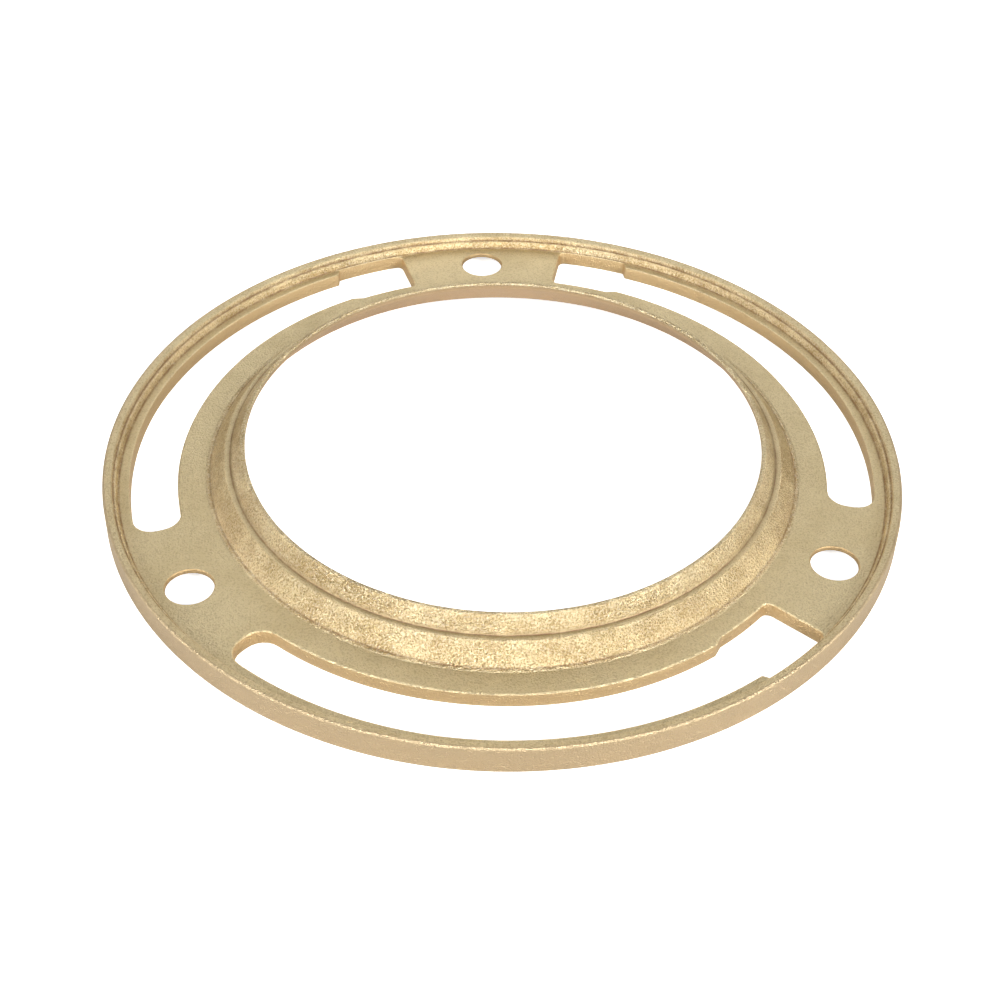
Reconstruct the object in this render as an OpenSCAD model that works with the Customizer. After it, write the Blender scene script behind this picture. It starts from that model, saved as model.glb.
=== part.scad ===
// Toilet flange: one brass casting that fastens a toilet to the floor and closes around the drain bend.
// Millimetres, +Z up. The origin is on the ring's axis, on the floor that the outer rim rests on.
// The section is turned once around Z, and the bolt slots, screw holes and hollows are cut into it.

/* [Rim] */
// Diameter over the outer rim
rim_d = 174.6; // [173:0.2:182]
// Height of the outer rim above the floor
rim_h = 6.6; // [5.6:0.1:8]
// Width of the rim's flat top
rim_top_w = 1.9; // [1.4:0.1:2.4]
// Height of the narrow shelf just inside the rim's top
shelf_h = 5.1; // [4.7:0.1:5.4]
// Width of that shelf
shelf_w = 0.5; // [0.3:0.1:0.8]
// Radius on the rim's outer edges
rim_edge_r = 0.5; // [0.3:0.1:0.9]

/* [Web] */
// Height of the web's top face above the floor
web_h = 3.4; // [3:0.1:3.8]
// Thickness left over the hollow under each bridge
bridge_t = 1.1; // [0.9:0.1:1.9]
// Thickness of the skirts of rim and hub beside that hollow
skirt_t = 1.9; // [1.6:0.1:2.4]

/* [Hub] */
// Diameter of the opening at the hub's lip
lip_d = 112.7; // [108:0.5:116]
// Height of the lip above the floor
lip_h = 11.1; // [9.6:0.1:12]
// Width of the lip's top
lip_w = 0.9; // [0.6:0.1:1.2]
// Diameter of the hub's foot, where it meets the web
foot_d = 128.9; // [127:0.1:131]
// Height of the ledge between the hub's two cones
ledge_h = 7.8; // [6.6:0.1:8.8]
// Width of that ledge
ledge_w = 1.1; // [0.6:0.1:1.4]
// Diameter of the ledge's outer edge
ledge_d = 121.7; // [120:0.1:123]

/* [Bolt slots and screw holes] */
// Diameter of the circle that the slots and screw holes are centred on
pitch_d = 153.2; // [152.2:0.1:154]
// Width of the narrow part of a slot, where the closet bolt is held
slot_w = 11; // [9:0.1:12]
// How far each edge of a slot closes in towards its closed end
slot_taper = 0.55; // [0:0.05:0.8]
// Width of the wide end, where the bolt's head goes in
entry_w = 14.1; // [12.6:0.1:14.2]
// Length of the wide end, in degrees around the ring
entry_angle = 11.6; // [9:0.1:16]
// Width of a bridge between two slots, in degrees around the ring
bridge_angle = 28.4; // [24:0.2:36]
// Diameter of a screw hole
screw_d = 10; // [5:0.1:11]
// Radius of the corners at a slot's closed end
slot_end_r = 4.3; // [2:0.1:4.6]
// Radius of the corners at a slot's wide end
entry_end_r = 1.7; // [0.8:0.1:2.4]
// Turn of the whole ring around its axis
ring_turn = 4.8; // [0:0.1:30]

/* [Hidden] */
$fn = 96;

rim_r = rim_d / 2;
pitch_r = pitch_d / 2;
lip_r = lip_d / 2;
foot_r = foot_d / 2;
ledge_r = ledge_d / 2;
// Inner corners of the rim, from the top down to the web
rim_top_in_r = rim_r - 0.2 - rim_top_w;
shelf_out_r = rim_top_in_r - 0.2;
shelf_in_r = shelf_out_r - shelf_w;
rim_foot_r = shelf_in_r - 0.4;
// Inside of the hub: where its inner cone ends, and where the flare below it meets the web's underside
cone_r = foot_r - 2.8;
cone_h = web_h + 0.1;
flare_r = foot_r + 2.1;
// How far outwards the wide end's middle stands from the slot's, so that it runs along the rim's foot
entry_shift = 0.35;
// Lengths of the slanted shoulders where a slot widens: along the inner edge and along the outer edge
shoulder_in_l = 2.6;
shoulder_out_l = 0.9;
// Angle from its closed end over which a slot's edges close in
taper_angle = 33;
// Hollow under a bridge: the wall left beside it, in degrees, and its corner radius
hollow_wall = 1.6;
hollow_r = 2.5;
// Room that a cutter takes past a face
eps = 1;

// Points of a round corner: centre, radius, first and last angle
function corner(x, y, r, a, b, n = 3) =
    [for (i = [0 : n]) let (t = a + (b - a) * i / n) [x + r * cos(t), y + r * sin(t)]];

// The ring's section, from its outer bottom corner up over the rim, the web and the hub, and back underneath
module section() {
    e = rim_edge_r;
    polygon(concat(
        corner(rim_r - e, e, e, -90, 0),
        corner(rim_r - 0.2 - e, rim_h - e, e, 3, 84),
        [[rim_top_in_r, rim_h - 0.25], [shelf_out_r, shelf_h], [shelf_in_r, shelf_h - 0.05]],
        corner(rim_foot_r - 0.5, web_h + 0.5, 0.5, -15, -90),
        corner(foot_r + 0.6, web_h + 0.6, 0.6, -90, -140),
        [[ledge_r, ledge_h], [ledge_r - ledge_w, ledge_h]],
        corner(lip_r + lip_w - 0.2, lip_h - 0.35, 0.35, 45, 90),
        corner(lip_r + 0.35, lip_h - 0.35, 0.35, 90, 180),
        [[lip_r, lip_h - 1.4]],
        [[cone_r, cone_h], [flare_r, 0]]
    ));
}

// Angle that an arc length takes up at a radius
function turn(length, r) = length / r * 180 / PI;

// Point at a radius and an angle
function on_ring(r, t) = r * [cos(t), sin(t)];

// Points along the ring from one angle to another, about every three degrees, from radius r to r_end
function along(r, a, b, r_end = 0) =
    let (n = ceil(abs(b - a) / 3), d = r_end > 0 ? r_end - r : 0)
    [for (i = [0 : n]) on_ring(r + d * i / n, a + (b - a) * i / n)];

// Points of the round corner where a slot ends, at angle t. `way` is 1 where the slot runs on to larger
// angles and -1 where it runs to smaller ones. `side` is 1 at the outer corner and -1 at the inner one.
function slot_corner(r, t, way, side, c, n = 4) =
    let (middle_r = r - side * c, middle_t = t + way * turn(c, r - side * c))
    [for (i = [1 : n]) let (u = 90 * i / n)
        on_ring(middle_r + side * c * cos(u), middle_t) - way * c * sin(u) * [-sin(middle_t), cos(middle_t)]];

function reverse(points) = [for (i = [len(points) - 1 : -1 : 0]) points[i]];

// Where the straight part of a slot's edge starts, past its corner
function past(r, t, way, side, c) = t + way * turn(c, r - side * c);

// Outline of a closed end: the inner corner, then the outer one. c_in and c_out are the corner radii.
function end_points(r_in, r_out, t, way, c_in, c_out) =
    concat(slot_corner(r_in, t, way, -1, c_in), reverse(slot_corner(r_out, t, way, 1, c_out)));

// One bolt slot: narrow from its round closed end, then wide where the bolt's head goes in.
// The closed end is at angle 0 and the wide end at angle `span`.
module bolt_slot(span) {
    narrow_in = pitch_r - slot_w / 2;
    narrow_out = pitch_r + slot_w / 2;
    end_in = narrow_in + slot_taper;
    end_out = narrow_out - slot_taper;
    wide_in = pitch_r - entry_w / 2 + entry_shift;
    wide_out = pitch_r + entry_w / 2 + entry_shift;
    widens = span - entry_angle;
    c_end = min(slot_end_r, (end_out - end_in) / 2 - 0.1);
    c = entry_end_r;
    translate([0, 0, -eps])
        linear_extrude(rim_h + 2 * eps)
            polygon(concat(
                end_points(end_in, end_out, 0, 1, c_end, c_end),
                along(end_out, past(end_out, 0, 1, 1, c_end), taper_angle, narrow_out),
                along(narrow_out, taper_angle + 3, widens - turn(shoulder_out_l, pitch_r)),
                along(wide_out, widens, past(wide_out, span, -1, 1, c)),
                reverse(end_points(wide_in, wide_out, span, -1, c, c)),
                along(wide_in, past(wide_in, span, -1, -1, c), widens),
                along(narrow_in, widens - turn(shoulder_in_l, pitch_r), taper_angle + 3),
                along(narrow_in, taper_angle, past(end_in, 0, 1, -1, c_end), end_in)
            ));
}

// Screw hole in the middle of a bridge, with the shallow hollow under the bridge
module bridge_cut() {
    reach = bridge_angle / 2 - hollow_wall;
    hollow_in = flare_r + skirt_t;
    hollow_out = rim_r - skirt_t;
    c = hollow_r;
    translate([pitch_r, 0, -eps])
        cylinder(h = rim_h + 2 * eps, d = screw_d, $fn = 48);
    translate([0, 0, -eps])
        linear_extrude(web_h - bridge_t + eps)
            polygon(concat(
                end_points(hollow_in, hollow_out, -reach, 1, c, c),
                along(hollow_out, past(hollow_out, -reach, 1, 1, c), past(hollow_out, reach, -1, 1, c)),
                reverse(end_points(hollow_in, hollow_out, reach, -1, c, c)),
                along(hollow_in, past(hollow_in, reach, -1, -1, c), past(hollow_in, -reach, 1, -1, c))
            ));
}

// The whole casting: rim, web and hub in one piece
module flange_ring() {
    span = 120 - bridge_angle;
    bridges = [90, 210, 330];
    color("#c9b07c")
        rotate([0, 0, ring_turn])
            difference() {
                rotate_extrude()
                    section();
                for (b = bridges)
                    rotate([0, 0, b])
                        bridge_cut();
                // Two slots have their wide ends at the back bridge, and the front slot has its at the right
                for (closed_end = [330, 210])
                    rotate([0, 0, closed_end + bridge_angle / 2])
                        bolt_slot(span);
                mirror([1, 0, 0])
                    rotate([0, 0, 330 + bridge_angle / 2])
                        bolt_slot(span);
            }
}

flange_ring();
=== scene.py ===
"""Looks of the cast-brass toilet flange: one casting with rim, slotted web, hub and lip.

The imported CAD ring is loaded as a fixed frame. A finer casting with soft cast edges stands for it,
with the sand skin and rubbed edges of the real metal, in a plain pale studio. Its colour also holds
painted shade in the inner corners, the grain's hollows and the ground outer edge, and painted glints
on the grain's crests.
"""

import logging
import math
from dataclasses import dataclass, field
from enum import Enum
from typing import Iterable, Sequence

import bmesh
import bpy
from mathutils import Matrix, Vector, noise


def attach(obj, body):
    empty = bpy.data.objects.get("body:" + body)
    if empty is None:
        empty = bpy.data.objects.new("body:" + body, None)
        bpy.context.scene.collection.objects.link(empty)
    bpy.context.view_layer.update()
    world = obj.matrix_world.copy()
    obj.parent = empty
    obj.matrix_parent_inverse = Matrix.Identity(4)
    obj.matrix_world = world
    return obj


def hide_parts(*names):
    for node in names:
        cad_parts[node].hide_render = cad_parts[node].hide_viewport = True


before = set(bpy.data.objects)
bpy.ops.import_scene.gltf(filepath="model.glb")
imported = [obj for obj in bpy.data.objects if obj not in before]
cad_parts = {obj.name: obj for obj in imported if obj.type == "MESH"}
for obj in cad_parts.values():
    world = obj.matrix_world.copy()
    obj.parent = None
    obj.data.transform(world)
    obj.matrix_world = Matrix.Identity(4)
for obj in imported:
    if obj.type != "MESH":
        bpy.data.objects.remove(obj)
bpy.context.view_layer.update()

LOG = logging.getLogger("flange")
MM = 0.001

# A wall point whose outward direction has more than this share away from the axis faces out
FACES_OUT = 0.02
# The least share of the room that a squeezed edge takes, and the reach in mm that takes it all
SQUEEZE_LEAST, SQUEEZE_REACH = 0.35, 0.6
# A limit in mm that no wall reaches
NO_LIMIT = 99.0
# Heights closer than this many mm are one flat
FLAT_TOLERANCE = 0.002
# How many steps a rounded edge has, and how far in mm the flat's own vertices stand off it
EDGE_STEPS, EDGE_MARGIN = 4, 0.14


class Skin(Enum):
    """Vertex masks that tell the finish what kind of surface it is on."""

    RUB = "edge_rub"
    # Inner corners, which get painted shade.
    CORNER_SHADE = "corner_shade_mask"
    SMOOTH = "smooth_face"
    BORE = "bore_face"
    WALL = "cut_wall"
    # The ground outer edge: its calmer skin is real, its darker colour is painted shade.
    GROUND = "ground_edge_shade"


class Fill(Enum):
    """The flat faces that close the casting."""

    WEB_TOP = "web top"
    UNDERSIDE = "underside"
    CEILING = "bridge ceiling"


# ---------------- outlines


@dataclass(frozen=True)
class Corner:
    """A corner of a section or outline in mm, and the radius that it is cast with."""

    a: float
    b: float
    radius: float = 0.0


@dataclass(frozen=True)
class Station:
    """A point on a softened line in mm, with how near it is to an outer or an inner corner."""

    a: float
    b: float
    rub: float = 0.0
    # How near an inner corner is; inner corners get painted shade.
    corner_shade: float = 0.0


@dataclass(frozen=True)
class Softener:
    """Rounds the corners of a line and cuts its long runs into short ones.

    The metal lies on the left of an open line, so a left turn is an outer corner.
    """

    arc_step: float = 15.0
    run: float = 1.2
    guard: float = 0.12
    fade: float = 0.55
    full_turn: float = 1.2
    slight_turn: float = 0.05
    straight: float = 0.02
    share_of_run: float = 0.48
    gain: float = 1.25

    def soften(self, corners: Sequence[Corner], closed: bool = False) -> list[Station]:
        """Turns corners into stations.

        Args:
            corners: The corners in order.
            closed: Whether the last corner joins the first.

        Returns:
            The stations in order, without a repeat of the first one.
        """
        count = len(corners)
        points: list[Vector] = []
        bends: list[tuple[Vector, float]] = []
        for i, c in enumerate(corners):
            here = Vector((c.a, c.b))
            if not closed and i in (0, count - 1):
                points.append(here)
                continue
            before = Vector((corners[i - 1].a, corners[i - 1].b))
            after = Vector((corners[(i + 1) % count].a, corners[(i + 1) % count].b))
            d0, d1 = (here - before).normalized(), (after - here).normalized()
            turn = math.atan2(d0.x * d1.y - d0.y * d1.x, d0.dot(d1))
            if abs(turn) > self.slight_turn:
                bends.append((here, math.copysign(min(1.0, abs(turn) / self.full_turn), turn)))
            if c.radius <= 0 or abs(turn) < self.straight:
                points.append(here)
                continue
            reach = min(
                c.radius * math.tan(abs(turn) / 2),
                self.share_of_run * (here - before).length,
                self.share_of_run * (after - here).length,
            )
            radius = reach / math.tan(abs(turn) / 2)
            side = Vector((-d0.y, d0.x)) * math.copysign(1.0, turn)
            centre = here - d0 * reach + side * radius
            steps = max(3, math.ceil(math.degrees(abs(turn)) / self.arc_step))
            for k in range(steps + 1):
                spin = Matrix.Rotation(turn * k / steps, 2)
                points.append(centre + spin @ (-side * radius))
        return self._stations(points, bends, closed)

    def _stations(
        self, points: list[Vector], bends: list[tuple[Vector, float]], closed: bool
    ) -> list[Station]:
        """Cuts the runs between points and works out the corner masks.

        Args:
            points: The softened line.
            bends: Each corner's place and its turn, left turns above 0.
            closed: Whether the last point joins the first.

        Returns:
            The stations in order.
        """
        line: list[Vector] = []
        pairs = zip(points, points[1:] + points[:1]) if closed else zip(points, points[1:])
        for p, q in pairs:
            length = (q - p).length
            if length < 1e-6:
                continue
            line.append(p)
            if length > 3 * self.guard:
                cuts = max(1, math.ceil((length - 2 * self.guard) / self.run))
                inner = length - 2 * self.guard
                for k in range(cuts + 1):
                    line.append(p.lerp(q, (self.guard + inner * k / cuts) / length))
        if not closed:
            line.append(points[-1])
        out = []
        for p in line:
            rub = corner_shade = 0.0
            for place, turn in bends:
                near = math.exp(-(((p - place).length / self.fade) ** 2)) * abs(turn)
                if turn > 0:
                    rub = max(rub, near)
                else:
                    # Inner corners: the mask of the painted shade.
                    corner_shade = max(corner_shade, near)
            rub, corner_shade = (min(1.0, near * self.gain) for near in (rub, corner_shade))
            out.append(Station(p.x, p.y, rub, corner_shade))
        return out


# ---------------- mesh steps


class CastMesh:
    """The casting's bmesh, with its masks, and the few steps that all its features share."""

    def __init__(self) -> None:
        """Starts an empty mesh with one mask for each kind of skin."""
        self.bm, self.masks = self._start_part()

    def set_skin(self, verts: Iterable[bmesh.types.BMVert], **values: float) -> None:
        """Writes masks to vertices.

        Args:
            verts: The vertices.
            **values: A value for each named Skin.
        """
        for v in verts:
            for name, value in values.items():
                v[self.masks[Skin[name]]] = value

    def turn_section(self, line: Sequence[Station], steps: int) -> list[bmesh.types.BMVert]:
        """Spins a section line in mm a full turn about Z.

        Args:
            line: The section, as radius and height.
            steps: How many steps the turn has.

        Returns:
            The vertices of the turned surface.
        """
        part, masks = self._start_part()
        row = []
        for s in line:
            v = part.verts.new((s.a * MM, 0.0, s.b * MM))
            v[masks[Skin.RUB]], v[masks[Skin.CORNER_SHADE]] = s.rub, s.corner_shade
            row.append(v)
        edges = [part.edges.new(pair) for pair in zip(row, row[1:])]
        bmesh.ops.spin(
            part,
            geom=row + edges,
            cent=(0, 0, 0),
            axis=(0, 0, 1),
            dvec=(0, 0, 0),
            angle=math.tau,
            steps=steps,
            use_merge=True,
            use_normal_flip=False,
            use_duplicate=False,
        )
        return self._join_part(part, "turned section")

    def _start_part(self) -> tuple[bmesh.types.BMesh, dict[Skin, bmesh.types.BMLayerItem]]:
        """Starts an empty mesh. Each feature has a small one, which the operators are faster on.

        Returns:
            The mesh and its mask layers.
        """
        part = bmesh.new()
        return part, {skin: part.verts.layers.float.new(skin.value) for skin in Skin}

    def _join_part(self, part: bmesh.types.BMesh, what: str) -> list[bmesh.types.BMVert]:
        """Adds a feature's mesh to the casting.

        Args:
            part: The feature's mesh, which is freed.
            what: What the feature is, for the log.

        Returns:
            The feature's vertices in the casting.
        """
        LOG.info("%s: %d vertices", what, len(part.verts))
        start = len(self.bm.verts)
        carrier = bpy.data.meshes.new("part")
        part.to_mesh(carrier)
        part.free()
        self.bm.from_mesh(carrier)
        bpy.data.meshes.remove(carrier)
        self.bm.verts.ensure_lookup_table()
        return self.bm.verts[start:]

    def loft_wall(
        self, outline: Sequence["WallPoint"], profile: Sequence[Station], limit: float
    ) -> list[bmesh.types.BMVert]:
        """Draws a closed outline down a profile by extruding its edges level by level.

        Args:
            outline: The closed outline with its outward directions.
            profile: How far out, and how high, each level is, in mm.
            limit: The largest radius that a level may reach, in mm.

        Returns:
            The vertices of the wall.
        """

        def place(w: "WallPoint", s: Station) -> Vector:
            """Finds an outline point's place at a level, squeezed where the limit is near."""
            out = s.a
            radial = w.normal.dot(w.point.normalized())
            if radial > FACES_OUT and out > 0:
                room = (limit - w.point.length) / radial
                squeeze = SQUEEZE_LEAST + (1 - SQUEEZE_LEAST) * min(1.0, out / SQUEEZE_REACH)
                out = min(out, max(0.0, room) * squeeze)
            at = w.point + w.normal * out
            return Vector((at.x * MM, at.y * MM, s.b * MM))

        part, masks = self._start_part()

        def settle(row: list[bmesh.types.BMVert], s: Station) -> None:
            """Puts a row of vertices at a level, with the level's masks."""
            for v, w in zip(row, outline):
                v.co = place(w, s)
                v[masks[Skin.RUB]], v[masks[Skin.CORNER_SHADE]] = s.rub, s.corner_shade

        row = [part.verts.new() for _ in outline]
        edges = [part.edges.new(p) for p in zip(row, row[1:] + row[:1])]
        settle(row, profile[0])
        for s in profile[1:]:
            grown = bmesh.ops.extrude_edge_only(part, edges=edges)["geom"]
            fresh = {g for g in grown if isinstance(g, bmesh.types.BMVert)}
            above = {e.other_vert(v): v for v in fresh for e in v.link_edges}
            row = [above[v] for v in row]
            edges = [e for e in grown if isinstance(e, bmesh.types.BMEdge)]
            edges = [e for e in edges if set(e.verts) <= fresh]
            settle(row, s)
        return self._join_part(part, "lofted wall")

    def close_flat(self, height: float, kind: Fill, groups: int = 1) -> None:
        """Fills the flat that the open edges at one height bound.

        Args:
            height: The flat's height in mm.
            kind: Which flat it is.
            groups: How many separate flats there are, spread evenly round the ring.
        """
        rim = [
            e
            for e in self.bm.edges
            if e.is_boundary
            and all(abs(v.co.z - height * MM) < FLAT_TOLERANCE * MM for v in e.verts)
        ]
        parts: dict[int, list[bmesh.types.BMEdge]] = {}
        for e in rim:
            m = (e.verts[0].co + e.verts[1].co) / 2
            turn = (math.degrees(math.atan2(m.y, m.x)) - Bridges().turn + 360) % 360
            parts.setdefault(int(turn // (360 / groups)) if groups > 1 else 0, []).append(e)
        for edges in parts.values():
            bmesh.ops.triangle_fill(self.bm, use_beauty=True, use_dissolve=False, edges=edges)
        LOG.info("closed the %s with %d edges", kind.value, len(rim))


@dataclass(frozen=True)
class WallPoint:
    """A point on a closed outline, in mm, and the direction out of the opening."""

    point: Vector
    normal: Vector


def polar(radius: float, angle: float) -> Vector:
    """Gives the point at a radius and an angle in radians."""
    return Vector((radius * math.cos(angle), radius * math.sin(angle)))


def wall_points(points: Sequence[Vector]) -> list[WallPoint]:
    """Gives a closed outline its outward directions.

    Args:
        points: The outline in order, in mm.

    Returns:
        The same points with a unit direction that leads out of the opening.
    """
    area = sum(p.x * q.y - p.y * q.x for p, q in zip(points, [*points[1:], points[0]]))
    sign = 1.0 if area > 0 else -1.0
    out = []
    for i, p in enumerate(points):
        along = (points[(i + 1) % len(points)] - points[i - 1]).normalized()
        out.append(WallPoint(p, Vector((along.y, -along.x)) * sign))
    return out


def round_edge(radius: float, top: float, out: float, up: bool) -> list[Station]:
    """Draws the levels of a rounded edge between a flat and a wall.

    Args:
        radius: The edge's radius in mm.
        top: The flat's height in mm.
        out: Where the wall stands, in mm out of the outline.
        up: True if the flat is above the wall.

    Returns:
        The levels from the flat to the wall.
    """
    sign = -1.0 if up else 1.0
    levels = [Station(out + radius + EDGE_MARGIN, top)]
    for k in range(EDGE_STEPS + 1):
        a = math.radians(90 * k / EDGE_STEPS)
        rub = math.sin(math.pi * (k + 0.6) / (EDGE_STEPS + 1.2))
        inset, drop = radius * (1 - math.sin(a)), radius * (1 - math.cos(a))
        levels.append(Station(out + inset, top + sign * drop, rub))
    return levels


# ---------------- features


@dataclass
class Bridges:
    """Where the three bridges stand, and the shallow hollow under each."""

    turn: float = 4.8
    first: float = 90.0
    span: float = 28.4
    hollow_half: float = 12.6
    inner: float = 68.45
    outer: float = 85.4
    ceiling: float = 2.3
    corner: float = 2.5
    lower_edge: float = 0.35
    draft: float = 0.1
    fillet: float = 0.7
    fillet_steps: int = 4
    fillet_margin: float = 0.12

    def centres(self) -> list[float]:
        """The angle of each bridge, in degrees."""
        return [self.first + self.turn + 120 * k for k in range(3)]

    def build(self, cast: CastMesh) -> None:
        """Draws the walls of the three hollows, open at the underside and at the ceiling.

        Args:
            cast: The casting.
        """
        half = math.radians(self.hollow_half) * self.inner
        box = [
            Corner(-half, self.inner, self.corner),
            Corner(half, self.inner, self.corner),
            Corner(half, self.outer, self.corner),
            Corner(-half, self.outer, self.corner),
        ]
        unrolled = Softener().soften(box, closed=True)
        levels = round_edge(self.lower_edge, 0.0, 0.0, up=False)
        for k in range(self.fillet_steps + 1):
            a = math.radians(90 * k / self.fillet_steps)
            inset, drop = self.fillet * (1 - math.cos(a)), self.fillet * (1 - math.sin(a))
            # The fillet under the ceiling is an inner corner and gets painted shade.
            corner_shade = 0.35 + 0.5 * math.sin(math.pi * k / self.fillet_steps)
            levels.append(Station(-self.draft - inset, self.ceiling - drop, 0.0, corner_shade))
        levels.append(Station(-self.draft - self.fillet - self.fillet_margin, self.ceiling))
        for centre in self.centres():
            points = []
            for s in unrolled:
                points.append(polar(s.b, math.radians(centre) + s.a / self.inner))
            cast.loft_wall(wall_points(points), levels, NO_LIMIT)


@dataclass
class ScrewHoles:
    """The three floor-screw holes, one in the middle of each bridge."""

    radius: float = 5.0
    pitch: float = 76.6
    web_top: float = 3.4
    edge: float = 0.28
    lower_edge: float = 0.15
    sides: int = 72

    def build(self, cast: CastMesh, bridges: Bridges) -> None:
        """Draws the short wall of each hole.

        Args:
            cast: The casting.
            bridges: Where the bridges stand.
        """
        levels = round_edge(self.edge, self.web_top, 0.0, up=True)
        levels += round_edge(self.lower_edge, bridges.ceiling, 0.0, up=False)[::-1]
        for centre in bridges.centres():
            middle = polar(self.pitch, math.radians(centre))
            start = Vector((self.radius, 0))
            turns = (Matrix.Rotation(math.tau * k / self.sides, 2) for k in range(self.sides))
            points = [middle + turn @ start for turn in turns]
            made = cast.loft_wall(wall_points(points), levels, NO_LIMIT)
            cast.set_skin(made, SMOOTH=1.0, RUB=0.0)
            below = [v for v in made if v.co.z < (self.web_top - 0.02) * MM]
            cast.set_skin(below, WALL=1.0)


@dataclass
class BoltSlots:
    """The three curved bolt slots, each with a wide entry for the bolt's head at one end."""

    pitch: float = 76.6
    inner: float = 71.05
    outer: float = 82.15
    taper: float = 0.55
    taper_angle: float = 33.0
    wide_inner: float = 69.9
    wide_outer: float = 84.0
    entry: float = 11.6
    shoulder_inner: float = 2.6
    shoulder_outer: float = 1.0
    end_round: float = 4.3
    entry_corner: float = 1.7
    draft: float = 0.05
    edge: float = 0.24
    lower_edge: float = 0.25
    shoulder_round: float = 1.2
    slow_bend: float = 60.0
    web_top: float = 3.4
    reach: float = 84.07

    def spans(self, bridges: Bridges) -> list[tuple[float, float]]:
        """Where each slot's closed end and wide entry lie, in degrees.

        The right and front slots run one way, and the left one mirrors the right one.

        Args:
            bridges: Where the bridges stand.

        Returns:
            The closed end and the entry's end of the right, front and left slots.
        """
        half, side, turn = bridges.span / 2, 120 - bridges.span, bridges.turn
        right, front = 330 + half - 360, 210 + half
        return [
            (right + turn, right + side + turn),
            (front + turn, front + side + turn),
            (180 - right + turn, 180 - right - side + turn),
        ]

    def build(self, cast: CastMesh, bridges: Bridges) -> None:
        """Draws the wall of each slot from the web's top to its underside.

        Args:
            cast: The casting.
            bridges: Where the bridges stand.
        """
        levels = round_edge(self.edge, self.web_top, 0.0, up=True)
        levels.append(Station(-self.draft * 0.5, self.web_top * 0.5))
        levels += round_edge(self.lower_edge, 0.0, -self.draft, up=False)[::-1]
        for closed, wide in self.spans(bridges):
            way = 1.0 if wide > closed else -1.0
            length = abs(wide - closed)
            per = math.radians(1) * self.pitch
            wide_from, wide_to = (length - self.entry) * per, length * per
            closing = self.taper_angle * per
            shape = [
                Corner(0.0, self.inner + self.taper, self.end_round),
                Corner(closing, self.inner, self.slow_bend),
                Corner(wide_from - self.shoulder_inner, self.inner, self.shoulder_round),
                Corner(wide_from, self.wide_inner, self.shoulder_round),
                Corner(wide_to, self.wide_inner, self.entry_corner),
                Corner(wide_to, self.wide_outer, self.entry_corner),
                Corner(wide_from, self.wide_outer, 0.7),
                Corner(wide_from - self.shoulder_outer, self.outer, 0.6),
                Corner(closing, self.outer, self.slow_bend),
                Corner(0.0, self.outer - self.taper, self.end_round),
            ]
            points = []
            for s in Softener().soften(shape, closed=True):
                points.append(polar(s.b, math.radians(closed) + way * s.a / self.pitch))
            made = cast.loft_wall(wall_points(points), levels, self.reach)
            cast.set_skin(made, SMOOTH=0.6)
            low, high = 0.2 * MM, (self.web_top - 0.9 * self.edge) * MM
            cast.set_skin((v for v in made if low < v.co.z < high), WALL=1.0)


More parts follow.
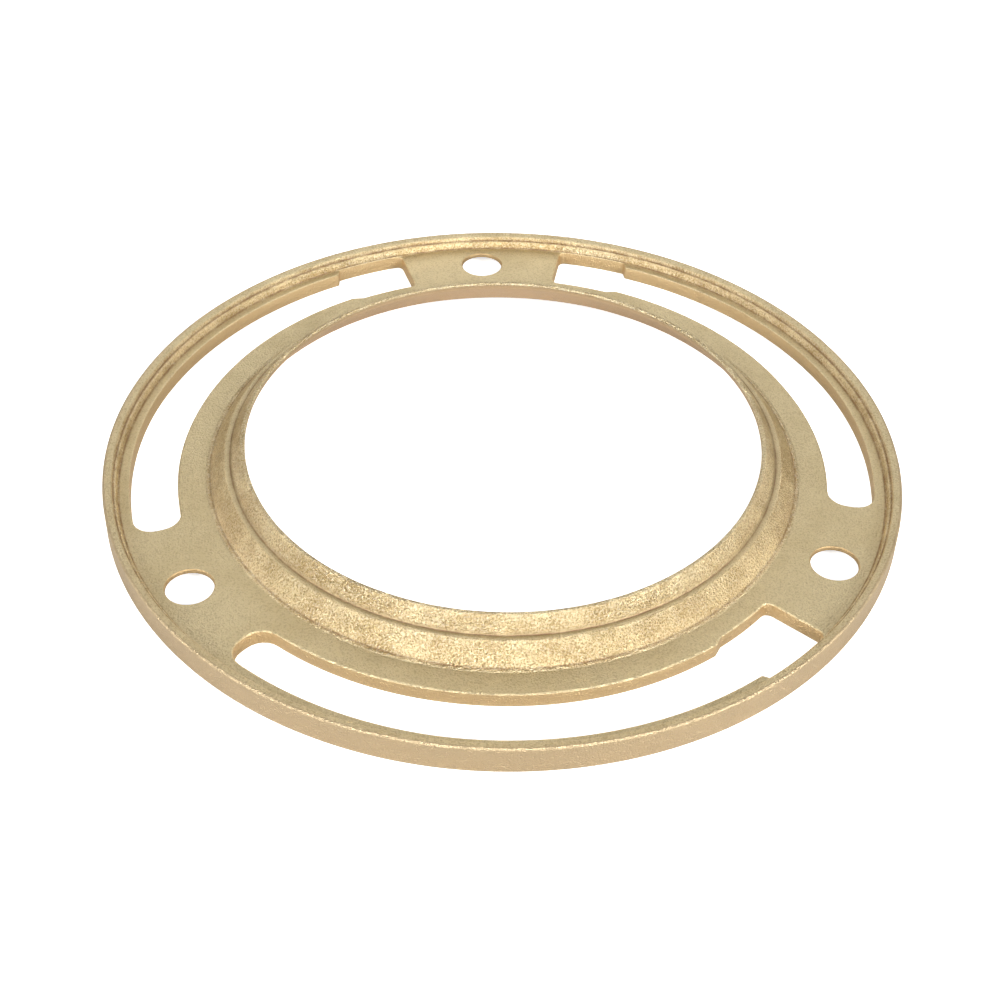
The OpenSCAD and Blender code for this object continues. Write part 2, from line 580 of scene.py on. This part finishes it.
@dataclass
class Rim:
    """The raised outer rim: round lower edge, upright wall, sloped top and a small inner step."""

    radius: float = 87.22
    top: float = 6.6
    top_inner: float = 85.25
    top_inner_z: float = 6.15
    step_out: float = 85.0
    step_z: float = 5.1
    step_in: float = 84.5
    foot: float = 84.1
    web_top: float = 3.4
    foot_fillet: float = 0.5
    tight: float = 84.08
    tight_room: float = 0.65
    underside_in: float = 86.05
    web_in: float = 82.95
    top_edge: float = 0.7
    steps: int = 360

    def section(self) -> list[Station]:
        """Draws the rim's section from the underside, over the top, to the web.

        Returns:
            The section's stations.
        """
        corners = [
            Corner(self.underside_in, 0.0),
            Corner(self.radius, 0.0, 0.8),
            Corner(self.radius - 0.12, self.top, 0.45),
            Corner(self.top_inner, self.top_inner_z, 0.3),
            Corner(self.step_out, self.step_z, 0.28),
            Corner(self.step_in, self.step_z - 0.05, 0.22),
            Corner(self.foot, self.web_top, self.foot_fillet),
            Corner(self.web_in, self.web_top),
        ]
        return Softener(run=0.8, fade=0.3).soften(corners)

    def build(self, cast: CastMesh, slots: BoltSlots, bridges: Bridges) -> None:
        """Spins the rim, then pulls its foot tight where a slot's wide entry runs along it.

        Args:
            cast: The casting.
            slots: The bolt slots.
            bridges: Where the bridges stand.
        """
        made = cast.turn_section(self.section(), self.steps)
        self._mark_top(cast, made)
        for v in made:
            radius = v.co.xy.length / MM
            if v.co.z < (self.web_top - 0.2) * MM or radius > self.foot - 0.002:
                continue
            if v.co.z > (self.web_top + self.foot_fillet + 0.1) * MM:
                continue
            share = self._tight_share(math.degrees(math.atan2(v.co.y, v.co.x)), slots, bridges)
            if share <= 0:
                continue
            room = self.foot_fillet + self.tight_room
            new = self.tight + (radius - self.foot) * (self.foot - self.tight) / room
            moved = radius + (max(new, radius) - radius) * share
            v.co.xy = v.co.xy * (moved / radius)

    def _mark_top(self, cast: CastMesh, made: Sequence[bmesh.types.BMVert]) -> None:
        """Calms the rim's sloped top and darkens its outer edge with painted shade.

        Args:
            cast: The casting.
            made: The rim's vertices.
        """
        on_top = [v for v in made if v.co.z > (self.top_inner_z - 0.15) * MM]
        cast.set_skin(on_top, SMOOTH=0.75)
        for v in on_top:
            cast.set_skin([v], RUB=0.35 * v[cast.masks[Skin.RUB]])
            # Painted shade on the top's outer edge.
            if v.co.xy.length > (self.radius - self.top_edge) * MM:
                cast.set_skin([v], GROUND=0.7)

    def _tight_share(self, angle: float, slots: BoltSlots, bridges: Bridges) -> float:
        """Finds how far the foot is pulled tight at an angle, from 0 to 1.

        Args:
            angle: The place on the rim, in degrees.
            slots: The bolt slots.
            bridges: Where the bridges stand.

        Returns:
            1 beside a wide entry, 0 away from it, and a smooth change between.
        """
        best = 0.0
        for closed, wide in slots.spans(bridges):
            way = 1.0 if wide > closed else -1.0
            near = wide - way * (slots.entry + 0.7)
            middle, half = (near + wide) / 2, abs(wide - near) / 2
            off = abs((angle - middle + 180) % 360 - 180) - half
            t = 1 - min(1.0, max(0.0, (off - 0.1) / 1.3))
            best = max(best, t * t * (3 - 2 * t))
        return best


@dataclass
class Hub:
    """The raised hub: a cone, a narrow ledge, a second cone and the lip round the drain opening."""

    foot: float = 64.45
    web_top: float = 3.4
    ledge_out: float = 60.85
    ledge_in: float = 59.75
    ledge_z: float = 7.8
    lip_out: float = 57.3
    lip_in: float = 56.35
    top: float = 11.04
    throat_z: float = 9.7
    flare_in: float = 61.65
    flare_z: float = 3.5
    flare_out: float = 66.55
    web_out: float = 66.2
    underside_out: float = 68.2
    steps: int = 360

    def section(self) -> list[Station]:
        """Draws the hub's section from the web, over the lip, down the bore to the underside.

        Returns:
            The section's stations.
        """
        corners = [
            Corner(self.web_out, self.web_top),
            Corner(self.foot, self.web_top, 0.7),
            Corner(self.ledge_out, self.ledge_z + 0.06, 0.3),
            Corner(self.ledge_in, self.ledge_z - 0.04, 0.25),
            Corner(self.lip_out, self.top, 0.4),
            Corner(self.lip_in, self.top, 0.35),
            Corner(self.lip_in, self.throat_z, 2.0),
            Corner(self.flare_in, self.flare_z, 2.5),
            Corner(self.flare_out, 0.0, 0.8),
            Corner(self.underside_out, 0.0),
        ]
        return Softener(run=0.8, fade=0.26).soften(corners)

    def build(self, cast: CastMesh) -> None:
        """Spins the hub and marks its bore, ledge and lip.

        Args:
            cast: The casting.
        """
        made = cast.turn_section(self.section(), self.steps)
        slope = (self.flare_in - self.lip_in) / (self.throat_z - self.flare_z)
        for v in made:
            r, z = v.co.xy.length / MM, v.co.z / MM
            bore = self.lip_in + 0.2 + max(0.0, (self.throat_z - z) * slope)
            inside = z < self.top - 0.5 and r < bore
            if inside or (z < self.web_top - 0.2 and r < self.flare_out + 0.5):
                cast.set_skin([v], BORE=1.0)
            if self.ledge_in - 0.25 < r < self.ledge_out and abs(z - self.ledge_z) < 0.2:
                cast.set_skin([v], SMOOTH=0.9)
            if abs(z - self.top) < 0.5:
                cast.set_skin([v], RUB=0.25)


# ---------------- node work


class Graph:
    """Adds nodes to a tree and joins them, so that a finish reads as a list of steps."""

    def __init__(self, tree: bpy.types.NodeTree) -> None:
        """Works on one node tree."""
        self.tree = tree

    def add(self, kind: str, inputs: dict | None = None, **settings: object) -> bpy.types.Node:
        """Adds a node.

        Args:
            kind: The node's type.
            inputs: A value or an output socket for each input, by name or number.
            **settings: The node's own settings.

        Returns:
            The node.
        """
        node = self.tree.nodes.new(kind)
        for name, value in settings.items():
            setattr(node, name, value)
        for key, value in (inputs or {}).items():
            if isinstance(value, bpy.types.NodeSocket):
                self.tree.links.new(value, node.inputs[key])
            else:
                node.inputs[key].default_value = value
        return node

    def math(self, operation: str, a: object, b: object = 0.0) -> bpy.types.NodeSocket:
        """Works out two values with one operation, clamped to 0 to 1.

        Args:
            operation: The Math node's operation.
            a: The first value or socket.
            b: The second value or socket.

        Returns:
            The result's socket.
        """
        node = self.add("ShaderNodeMath", {0: a, 1: b}, operation=operation, use_clamp=True)
        return node.outputs[0]

    def blend(self, factor: object, a: object, b: object) -> bpy.types.NodeSocket:
        """Mixes two colours.

        Args:
            factor: The share of the second colour.
            a: The first colour or socket.
            b: The second colour or socket.

        Returns:
            The mixed colour's socket.
        """
        node = self.add("ShaderNodeMix", {0: factor, 6: a, 7: b}, data_type="RGBA")
        return node.outputs[2]

    def range(self, value: object, low: float, high: float) -> bpy.types.NodeSocket:
        """Stretches a value to 0 to 1, with smooth ends.

        Args:
            value: The value's socket.
            low: The value that gives 0.
            high: The value that gives 1.

        Returns:
            The stretched value's socket.
        """
        ends = {0: value, 1: low, 2: high, 3: 0.0, 4: 1.0}
        node = self.add("ShaderNodeMapRange", ends, interpolation_type="SMOOTHSTEP")
        return node.outputs[0]

    def noise(
        self, vector: object, scale: object, detail: float, rough: float
    ) -> bpy.types.NodeSocket:
        """Adds cloudy noise from 0 to 1.

        Args:
            vector: The place's socket.
            scale: How many clouds there are to the metre.
            detail: How many finer layers it has.
            rough: How strong the finer layers are.

        Returns:
            The noise's socket.
        """
        node = self.add(
            "ShaderNodeTexNoise",
            {"Vector": vector, "Scale": scale, "Detail": detail, "Roughness": rough},
        )
        return node.outputs[0]

    def mix(self, factor: object, a: object, b: object) -> bpy.types.NodeSocket:
        """Mixes two values.

        Args:
            factor: The share of the second value.
            a: The first value or socket.
            b: The second value or socket.

        Returns:
            The mixed value's socket.
        """
        node = self.add("ShaderNodeMix", {0: factor, 2: a, 3: b}, data_type="FLOAT")
        return node.outputs[0]

    def cells(self, vector: object, scale: object) -> bpy.types.Node:
        """Adds scattered cells, for grains and pits.

        Args:
            vector: The place's socket.
            scale: How many cells there are to the metre.

        Returns:
            The Voronoi node.
        """
        return self.add("ShaderNodeTexVoronoi", {"Vector": vector, "Scale": scale})


class GroupGraph(Graph):
    """A node group's graph, with the group's own inputs and outputs."""

    def __init__(self, tree: bpy.types.NodeTree) -> None:
        """Works on a group whose sockets are already named."""
        super().__init__(tree)
        self.start = tree.nodes.new("NodeGroupInput")
        self.end = tree.nodes.new("NodeGroupOutput")

    def taken(self, count: int) -> list[bpy.types.NodeSocket]:
        """Lists the sockets of the group's first inputs."""
        return [self.start.outputs[i] for i in range(count)]

    def give(self, **values: bpy.types.NodeSocket) -> bpy.types.NodeTree:
        """Joins the group's outputs.

        Args:
            **values: A socket for each named output.

        Returns:
            The finished group.
        """
        for name, socket in values.items():
            self.tree.links.new(socket, self.end.inputs[name])
        return self.tree


def start_group(name: str, takes: dict[str, str], gives: dict[str, str]) -> GroupGraph:
    """Starts a shader node group with named sockets.

    Args:
        name: The group's name.
        takes: Input names and their socket types.
        gives: Output names and their socket types.

    Returns:
        The group's graph.
    """
    tree = bpy.data.node_groups.new(name, "ShaderNodeTree")
    for label, kind in takes.items():
        tree.interface.new_socket(label, in_out="INPUT", socket_type=kind)
    for label, kind in gives.items():
        tree.interface.new_socket(label, in_out="OUTPUT", socket_type=kind)
    return GroupGraph(tree)


FLOAT, VECTOR, COLOUR = "NodeSocketFloat", "NodeSocketVector", "NodeSocketColor"


class FinishKit:
    """The shared effects: sand grain, tone drift, casting pits, broken edge rub and streaks."""

    # Where the grains' crests get a painted glint.
    CREST_GLINT_BAND = (0.49, 0.64)
    # Where the hollows between grains get painted shade.
    HOLLOW_SHADE_BAND = (0.51, 0.36)
    DRIFT_BAND = (0.36, 0.66)
    BREAK_BAND = (0.3, 0.62)
    STREAK_BAND = (0.35, 0.68)
    EMPTY_CELLS = 0.72
    STREAK_STRETCH = (0.06, 1.0, 1.0)

    def __init__(self) -> None:
        """Builds each node group once."""
        self.grain = self._sand_grain()
        self.drift = self._tone_drift()
        self.pits = self._casting_pits()
        self.breakup = self._broken_mask()
        self.streaks = self._rub_streaks()

    def _sand_grain(self) -> bpy.types.NodeTree:
        """Makes the skin that a sand mould leaves: packed grains with fine grit on them.

        Returns:
            The group, with the relief, the grains' crests, where a glint is painted,
            and the hollows between them, where shade is painted.
        """
        g = start_group(
            "SandGrain",
            {"Vector": VECTOR, "Grain Scale": FLOAT, "Grit Scale": FLOAT},
            {"Height": FLOAT, "Crest": FLOAT, "Hollow": FLOAT},
        )
        v, scale, grit = g.taken(3)
        coarse = g.noise(v, scale, 2.0, 0.65)
        cell = g.cells(v, scale).outputs["Distance"]
        grains = g.math("SUBTRACT", 1.0, cell)
        fine = g.noise(v, grit, 1.0, 0.5)
        both = g.math("MULTIPLY", g.math("ADD", coarse, g.math("MULTIPLY", grains, 0.45)), 0.75)
        height = g.math("ADD", g.math("MULTIPLY", both, 0.85), g.math("MULTIPLY", fine, 0.15))
        # Masks for the painted glint on the crests and the painted shade in the hollows.
        crest_glint, hollow = (g.range(coarse, *band) for band in (self.CREST_GLINT_BAND, self.HOLLOW_SHADE_BAND))
        return g.give(Height=height, Crest=crest_glint, Hollow=hollow)

    def _tone_drift(self) -> bpy.types.NodeTree:
        """Makes two tones of the same metal drift into each other.

        Returns:
            The group, with the colour and the drift's mask.
        """
        g = start_group(
            "ToneDrift",
            {"Vector": VECTOR, "Scale": FLOAT, "Tone A": COLOUR, "Tone B": COLOUR},
            {"Color": COLOUR, "Mask": FLOAT},
        )
        v, scale, a, b = g.taken(4)
        mask = g.range(g.noise(v, scale, 4.0, 0.6), *self.DRIFT_BAND)
        return g.give(Color=g.blend(mask, a, b), Mask=mask)

    def _casting_pits(self) -> bpy.types.NodeTree:
        """Makes sparse small round pits.

        Returns:
            The group, with the pits' mask.
        """
        g = start_group(
            "CastingPits", {"Vector": VECTOR, "Scale": FLOAT, "Size": FLOAT}, {"Mask": FLOAT}
        )
        v, scale, size = g.taken(3)
        spot = g.cells(v, scale)
        draw = g.add("ShaderNodeSeparateColor", {0: spot.outputs["Color"]}).outputs[0]
        some = g.math("GREATER_THAN", draw, self.EMPTY_CELLS)
        near = g.math("LESS_THAN", spot.outputs["Distance"], size)
        return g.give(Mask=g.math("MULTIPLY", some, near))

    def _broken_mask(self) -> bpy.types.NodeTree:
        """Breaks a smooth mask into an uneven line: the one that handling leaves on rubbed edges,
        and the patchy painted shade in the inner corners.

        Returns:
            The group, with the broken mask.
        """
        g = start_group(
            "BrokenMask",
            {"Vector": VECTOR, "Mask": FLOAT, "Scale": FLOAT, "Amount": FLOAT},
            {"Mask": FLOAT},
        )
        v, mask, scale, amount = g.taken(4)
        patch = g.range(g.noise(v, scale, 3.0, 0.6), *self.BREAK_BAND)
        return g.give(Mask=g.math("MULTIPLY", mask, g.mix(amount, 1.0, patch)))

    def _rub_streaks(self) -> bpy.types.NodeTree:
        """Makes faint long streaks along X, where the flat was wiped and rubbed.

        Returns:
            The group, with the streaks' mask.
        """
        g = start_group("RubStreaks", {"Vector": VECTOR, "Scale": FLOAT}, {"Streak": FLOAT})
        v, scale = g.taken(2)
        long = g.add("ShaderNodeMapping", {"Vector": v, "Scale": self.STREAK_STRETCH})
        streak = g.noise(long.outputs[0], scale, 3.0, 0.7)
        return g.give(Streak=g.range(streak, *self.STREAK_BAND))


Tone = tuple[float, float, float, float]


@dataclass(frozen=True)
class CastBrass:
    """Sand-cast yellow brass: grainy gold slopes, calmer flats, browner bore, rubbed edges,
    with painted glints on the grain's crests and painted shade in its hollows, inner corners and
    ground edge.
    """

    slope_a: Tone = (0.85, 0.70, 0.415, 1.0)
    slope_b: Tone = (0.64, 0.49, 0.255, 1.0)
    flat_a: Tone = (0.715, 0.60, 0.37, 1.0)
    flat_b: Tone = (0.64, 0.53, 0.315, 1.0)
    bore: Tone = (0.62, 0.45, 0.27, 1.0)
    wall: Tone = (0.62, 0.45, 0.24, 1.0)
    # Painted shade: the darker colour of the ground outer edge.
    ground_shade: Tone = (0.575, 0.435, 0.265, 1.0)
    rub: Tone = (0.90, 0.75, 0.45, 1.0)
    # Painted shade in the inner corners.
    corner_shade: Tone = (0.30, 0.19, 0.105, 1.0)
    pit: Tone = (0.20, 0.14, 0.08, 1.0)
    # Painted glint on the grain's crests.
    crest_glint: Tone = (1.0, 0.97, 0.87, 1.0)
    # Painted shade in the grain's hollows.
    hollow: Tone = (0.34, 0.21, 0.09, 1.0)
    wiped: Tone = (0.82, 0.70, 0.47, 1.0)
    # Painted shade in the hollows of the flats' fainter grain.
    flat_hollow_shade: Tone = (0.40, 0.30, 0.18, 1.0)
    crest_glint_share: float = 0.32
    hollow_shade_share: float = 0.55
    wiped_share: float = 0.10
    flat_hollow_shade_share: float = 0.38
    corner_shade_share: float = 0.9
    rub_share: float = 0.4
    pit_share: float = 0.75
    slope_rough: float = 0.29
    flat_rough: float = 0.50
    rub_rough: float = 0.50
    corner_shade_rough: float = 0.62
    grain_scale: float = 2450.0
    grit_scale: float = 5200.0
    slope_bump: float = 1.0
    flat_bump: float = 0.5
    grain_height: float = 0.0007
    ground_calm: float = 0.7
    slope_drift_scale: float = 130.0
    flat_drift_scale: float = 60.0
    drift_rough: float = 0.06
    streak_scale: float = 900.0
    rub_break_scale: float = 1500.0
    rub_break: float = 0.9
    rub_flatten: float = 0.6
    corner_shade_break_scale: float = 260.0
    corner_shade_break: float = 0.4
    pit_scale: float = 95.0
    pit_size: float = 0.026
    pit_depth: float = 0.4
    wave_scale: float = 260.0
    wave_strength: float = 0.35
    wave_height: float = 0.0006

    def build(self, kit: FinishKit) -> bpy.types.Material:
        """Makes the material.

        Args:
            kit: The shared effects.

        Returns:
            The cast-brass material.
        """
        material = bpy.data.materials.new("cast_brass")
        material.use_nodes = True
        material.node_tree.nodes.clear()
        g = Graph(material.node_tree)
        at = g.add("ShaderNodeTexCoord").outputs["Object"]
        mask = {
            skin: g.add("ShaderNodeAttribute", attribute_name=skin.value).outputs["Fac"]
            for skin in Skin
        }
        smooth = self._smooth_face(g, mask)
        grain = self._use(
            g,
            kit.grain,
            {"Vector": at, "Grain Scale": self.grain_scale, "Grit Scale": self.grit_scale},
        )
        colour, drift = self._metal(g, kit, at, mask, smooth, grain)
        rub, corner_shade = (
            self._use(
                g, kit.breakup, {"Vector": at, "Mask": mask[skin], "Scale": scale, "Amount": amount}
            ).outputs[0]
            for skin, scale, amount in (
                (Skin.RUB, self.rub_break_scale, self.rub_break),
                (Skin.CORNER_SHADE, self.corner_shade_break_scale, self.corner_shade_break),
            )
        )
        pits = {"Vector": at, "Scale": self.pit_scale, "Size": self.pit_size}
        pit = self._use(g, kit.pits, pits).outputs[0]
        # Painted shade in the inner corners first, then the rubbed edges and the pits.
        for worn, share, tone in (
            (corner_shade, self.corner_shade_share, self.corner_shade),
            (rub, self.rub_share, self.rub),
            (pit, self.pit_share, self.pit),
        ):
            colour = g.blend(g.math("MULTIPLY", worn, share), colour, tone)
        rough = g.mix(smooth, self.slope_rough, self.flat_rough)
        rough = g.math("ADD", rough, g.math("MULTIPLY", drift, self.drift_rough))
        rough = g.mix(rub, rough, self.rub_rough)
        rough = g.mix(corner_shade, rough, self.corner_shade_rough)
        bump = self._bump(g, at, smooth, grain, pit, rub)
        shader = g.add(
            "ShaderNodeBsdfPrincipled",
            {"Base Color": colour, "Roughness": rough, "Normal": bump, "Metallic": 1.0},
        )
        out = g.add("ShaderNodeOutputMaterial")
        g.tree.links.new(shader.outputs[0], out.inputs[0])
        return material

    @staticmethod
    def _use(g: Graph, tree: bpy.types.NodeTree, inputs: dict) -> bpy.types.Node:
        """Places a node group with its own values."""
        return g.add("ShaderNodeGroup", inputs, node_tree=tree)

    def _smooth_face(self, g: Graph, mask: dict) -> bpy.types.NodeSocket:
        """Finds where the skin is calm: flats, slot walls, the bore and the ground outer edge."""
        calm = g.math("MAXIMUM", mask[Skin.SMOOTH], mask[Skin.BORE])
        return g.math("MAXIMUM", calm, g.math("MULTIPLY", mask[Skin.GROUND], self.ground_calm))

    def _metal(
        self, g: Graph, kit: FinishKit, at: object, mask: dict, smooth: object, grain: object
    ) -> tuple[bpy.types.NodeSocket, bpy.types.NodeSocket]:
        """The metal's colour before wear, with painted glints on the grain's crests and painted
        shade in its hollows and on the ground outer edge.

        Args:
            g: The material's graph.
            kit: The shared effects.
            at: The place on the piece.
            mask: The vertex masks.
            smooth: Where the skin is calm.
            grain: The sand-grain group.

        Returns:
            The colour and the drift mask.
        """
        slope, flat = (
            self._use(g, kit.drift, {"Vector": at, "Scale": scale, "Tone A": a, "Tone B": b})
            for scale, a, b in (
                (self.slope_drift_scale, self.slope_a, self.slope_b),
                (self.flat_drift_scale, self.flat_a, self.flat_b),
            )
        )
        streaks = self._use(g, kit.streaks, {"Vector": at, "Scale": self.streak_scale})
        crest_glint, hollow = grain.outputs["Crest"], grain.outputs["Hollow"]
        # Painted glint on the grain's crests.
        gold = g.blend(g.math("MULTIPLY", crest_glint, self.crest_glint_share), slope.outputs[0], self.crest_glint)
        # Painted shade in the grain's hollows.
        gold = g.blend(g.math("MULTIPLY", hollow, self.hollow_shade_share), gold, self.hollow)
        wiped = g.math("MULTIPLY", streaks.outputs[0], self.wiped_share)
        calm = g.blend(wiped, flat.outputs[0], self.wiped)
        # Painted shade in the hollows on the flats.
        shade = g.math("MULTIPLY", hollow, self.flat_hollow_shade_share)
        calm = g.blend(shade, calm, self.flat_hollow_shade)
        colour = g.blend(smooth, gold, calm)
        # Painted shade on the ground outer edge.
        colour = g.blend(mask[Skin.GROUND], colour, self.ground_shade)
        colour = g.blend(mask[Skin.WALL], colour, self.wall)
        colour = g.blend(mask[Skin.BORE], colour, self.bore)
        return colour, flat.outputs[1]

    def _bump(
        self, g: Graph, at: object, smooth: object, grain: object, pit: object, rub: object
    ) -> bpy.types.NodeSocket:
        """The relief: grain on the slopes, a faint skin on the flats, pits, slow hammered waves.

        Args:
            g: The material's graph.
            at: The place on the piece.
            smooth: Where the skin is calm.
            grain: The sand-grain group.
            pit: The pits' mask.
            rub: The rubbed edges' mask.

        Returns:
            The normal.
        """
        share = g.mix(smooth, self.slope_bump, self.flat_bump)
        kept = g.math("SUBTRACT", 1.0, g.math("MULTIPLY", rub, self.rub_flatten))
        skin = g.math("MULTIPLY", grain.outputs["Height"], g.math("MULTIPLY", share, kept))
        skin = g.math("SUBTRACT", skin, g.math("MULTIPLY", pit, self.pit_depth))
        relief = {"Strength": 1.0, "Distance": self.grain_height, "Height": skin}
        fine = g.add("ShaderNodeBump", relief).outputs[0]
        waves = {
            "Strength": self.wave_strength,
            "Distance": self.wave_height,
            "Height": g.noise(at, self.wave_scale, 2.0, 0.5),
            "Normal": fine,
        }
        return g.add("ShaderNodeBump", waves).outputs[0]


# ---------------- the casting


@dataclass
class FlangeCasting:
    """The whole flange, which is one brass casting."""

    rim: Rim = field(default_factory=Rim)
    hub: Hub = field(default_factory=Hub)
    slots: BoltSlots = field(default_factory=BoltSlots)
    holes: ScrewHoles = field(default_factory=ScrewHoles)
    bridges: Bridges = field(default_factory=Bridges)
    wave: float = 0.035
    slow_waves: float = 60.0
    quick_waves: float = 190.0
    quick_share: float = 0.5
    quick_shift: tuple[float, float, float] = (3.0, 1.0, 7.0)
    web_in: float = 65.0

    def build(self) -> bpy.types.Object:
        """Builds the casting as one closed mesh.

        Returns:
            The finished object at the origin.
        """
        cast = CastMesh()
        self.rim.build(cast, self.slots, self.bridges)
        self.hub.build(cast)
        self.slots.build(cast, self.bridges)
        self.holes.build(cast, self.bridges)
        self.bridges.build(cast)
        cast.close_flat(self.rim.web_top, Fill.WEB_TOP)
        cast.close_flat(0.0, Fill.UNDERSIDE)
        cast.close_flat(self.bridges.ceiling, Fill.CEILING, groups=3)
        self._mark_faces(cast)
        self._roll_surface(cast)
        bmesh.ops.recalc_face_normals(cast.bm, faces=cast.bm.faces[:])
        for f in cast.bm.faces:
            f.smooth = True
        open_edges = sum(1 for e in cast.bm.edges if not e.is_manifold)
        LOG.info("casting: %d faces, %d open edges", len(cast.bm.faces), open_edges)
        mesh = bpy.data.meshes.new("flange_ring_cast")
        cast.bm.to_mesh(mesh)
        cast.bm.free()
        ring = bpy.data.objects.new("flange_ring_cast", mesh)
        bpy.context.scene.collection.objects.link(ring)
        return ring

    def _mark_faces(self, cast: CastMesh) -> None:
        """Marks the calm flats and the ground outer edge, whose mask also carries painted shade.

        Args:
            cast: The casting.
        """
        rim = self.rim
        for v in cast.bm.verts:
            r, z = v.co.xy.length / MM, v.co.z / MM
            on_web = abs(z - rim.web_top) < 0.02 and self.web_in < r < rim.foot - 0.1
            if on_web or z < 0.02 or abs(z - self.bridges.ceiling) < 0.01:
                cast.set_skin([v], SMOOTH=1.0)
            # The ground outer wall: calmer skin, and painted shade in its colour.
            if r > rim.radius - 0.2 and z < rim.top - 0.4:
                cast.set_skin([v], GROUND=0.9)

    def _roll_surface(self, cast: CastMesh) -> None:
        """Gives rim and hub the slightly uneven run of a sand casting.

        Args:
            cast: The casting.
        """
        cast.bm.normal_update()
        web = self.rim.web_top
        for v in cast.bm.verts:
            r, z = v.co.xy.length / MM, v.co.z / MM
            lift = min(1.0, max(0.0, (z - web - 0.4) / 1.2))
            if lift <= 0:
                continue
            slow = noise.noise(v.co * self.slow_waves)
            quick = noise.noise(v.co * self.quick_waves + Vector(self.quick_shift))
            v.co += v.normal * (slow + self.quick_share * quick) * self.wave * MM * lift

    def dress(self, ring: bpy.types.Object, finish: bpy.types.Material) -> None:
        """Gives the casting its finish and its place in the frame.

        Args:
            ring: The casting.
            finish: Its material.
        """
        ring.data.materials.append(finish)
        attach(ring, "root")
        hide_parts("flange_ring")
        triangles = sum(len(p.vertices) - 2 for p in ring.data.polygons)
        LOG.info("%s: %d triangles", ring.name, triangles)


# ---------------- studio


@dataclass(frozen=True)
class SoftBox:
    """A large soft light in metres, aimed at a point."""

    name: str
    place: tuple[float, float, float]
    target: tuple[float, float, float]
    width: float
    height: float
    power: float

    def build(self) -> None:
        """Makes the light."""
        lamp = bpy.data.lights.new(self.name, "AREA")
        lamp.shape, lamp.size, lamp.size_y = "RECTANGLE", self.width, self.height
        lamp.energy = self.power
        holder = bpy.data.objects.new(self.name, lamp)
        holder.location = self.place
        aim = Vector(self.target) - Vector(self.place)
        holder.rotation_euler = aim.to_track_quat("-Z", "Y").to_euler()
        bpy.context.scene.collection.objects.link(holder)


@dataclass
class Studio:
    """A plain pale floor, soft light and the camera."""

    eye: tuple[float, float, float] = (-0.4335, -281.149, 237.798)
    down: float = 41.3815
    roll: float = 1.2509
    lens: float = 59.251
    sensor: float = 36.0
    clip: tuple[float, float] = (0.01, 20.0)
    floor_size: float = 6.0
    floor_drop: float = 0.0002
    floor_rough: float = 0.9
    floor_seen: tuple[float, float] = (0.90, 0.68)
    floor_bounce: tuple[float, float] = (0.62, 0.06)
    world: tuple[float, float, float] = (0.165, 0.163, 0.157)
    lights: tuple[SoftBox, ...] = (
        SoftBox("left_box", (-0.75, -0.66, 0.62), (0.0, -0.03, 0.0), 0.40, 0.40, 12.6),
        SoftBox("right_box", (0.76, -0.68, 0.64), (0.0, -0.03, 0.0), 0.40, 0.40, 17.0),
        SoftBox("top_box", (0.0, 0.97, 0.69), (0.0, 0.0, 0.0), 1.4, 0.55, 5.3),
    )

    def build(self) -> None:
        """Makes the floor, the world, the lights and the camera."""
        self._floor()
        self._world()
        for light in self.lights:
            light.build()
        self._camera()
        bpy.context.scene.view_settings.view_transform = "Standard"

    def _floor(self) -> None:
        """A plain pale floor at the height that the flange stands on."""
        bm = bmesh.new()
        bmesh.ops.create_grid(bm, x_segments=1, y_segments=1, size=self.floor_size)
        bmesh.ops.translate(bm, verts=bm.verts[:], vec=(0, 0, -self.floor_drop))
        mesh = bpy.data.meshes.new("floor")
        bm.to_mesh(mesh)
        bm.free()
        floor = bpy.data.objects.new("floor", mesh)
        bpy.context.scene.collection.objects.link(floor)
        material = bpy.data.materials.new("pale_floor")
        material.use_nodes = True
        material.node_tree.nodes.clear()
        g = Graph(material.node_tree)
        looks = []
        for pale, glow in (self.floor_seen, self.floor_bounce):
            values = {"Base Color": (pale, pale, pale, 1.0), "Roughness": self.floor_rough}
            values |= {"Emission Color": (1.0, 1.0, 1.0, 1.0), "Emission Strength": glow}
            looks.append(g.add("ShaderNodeBsdfPrincipled", values).outputs[0])
        direct = g.add("ShaderNodeLightPath").outputs["Is Camera Ray"]
        mixed = g.add("ShaderNodeMixShader", {0: direct, 1: looks[1], 2: looks[0]})
        g.add("ShaderNodeOutputMaterial", {0: mixed.outputs[0]})
        floor.data.materials.append(material)

    def _world(self) -> None:
        """Even pale light from all round."""
        world = bpy.data.worlds.new("studio")
        world.use_nodes = True
        world.node_tree.nodes["Background"].inputs[0].default_value = (*self.world, 1.0)
        bpy.context.scene.world = world

    def _camera(self) -> None:
        """The camera, slightly rolled, looking down at the ring from the front."""
        e, c = math.radians(self.down), math.radians(self.roll)
        right = Vector((1, 0, 0))
        ahead = Vector((0, math.cos(e), -math.sin(e)))
        below = Vector((0, -math.sin(e), -math.cos(e)))
        x = right * math.cos(c) - below * math.sin(c)
        y = -(right * math.sin(c) + below * math.cos(c))
        turn = Matrix((x, y, -ahead)).transposed()
        lens = bpy.data.cameras.new("camera")
        lens.lens, lens.sensor_width = self.lens, self.sensor
        lens.clip_start, lens.clip_end = self.clip
        camera = bpy.data.objects.new("camera", lens)
        camera.matrix_world = Matrix.Translation(Vector(self.eye) * MM) @ turn.to_4x4()
        bpy.context.scene.collection.objects.link(camera)
        bpy.context.scene.camera = camera


def main() -> None:
    """Builds the casting and the studio in order."""
    logging.basicConfig(level=logging.INFO, format="%(name)s: %(message)s")
    kit = FinishKit()
    casting = FlangeCasting()
    ring = casting.build()
    casting.dress(ring, CastBrass().build(kit))
    Studio().build()


if __name__ == "__main__":
    main()
